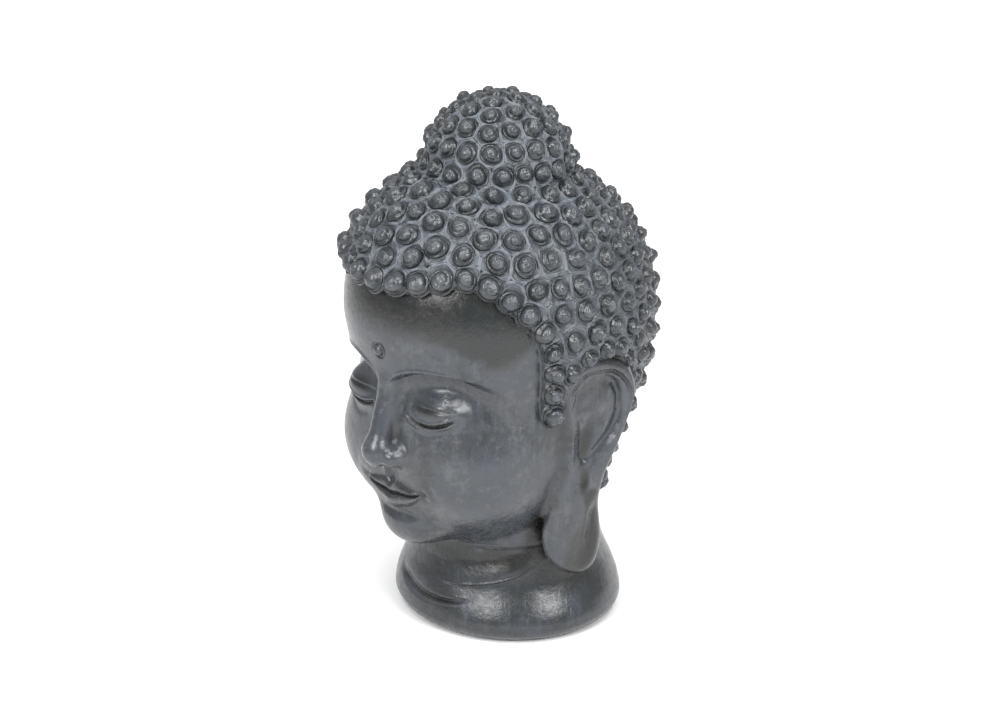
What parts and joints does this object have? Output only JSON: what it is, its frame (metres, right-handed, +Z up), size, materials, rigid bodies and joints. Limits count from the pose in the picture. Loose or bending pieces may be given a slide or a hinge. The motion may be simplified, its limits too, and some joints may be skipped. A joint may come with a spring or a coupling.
{
  "type": "buddha head ornament",
  "caption": "Garden ornament: a long-lobed Buddha head with snail-shell curls, topknot and forehead dot, on its own neck with a flared foot, cast in dark slate-grey stone.",
  "frame": {"origin": "centre of the flat underside of the neck", "axes": "+Z up, the face looks towards -Y, the head's own left ear is towards +X"},
  "size_m": [0.178, 0.2064, 0.3145],
  "materials": {
    "slate_cast_stone": "satin slate-grey patina over cast stone, browner black in the recesses and dusty blue-grey between the curls"
  },
  "bodies": {
    "root": {"buddha_head": "slate_cast_stone"}
  },
  "joints": []
}
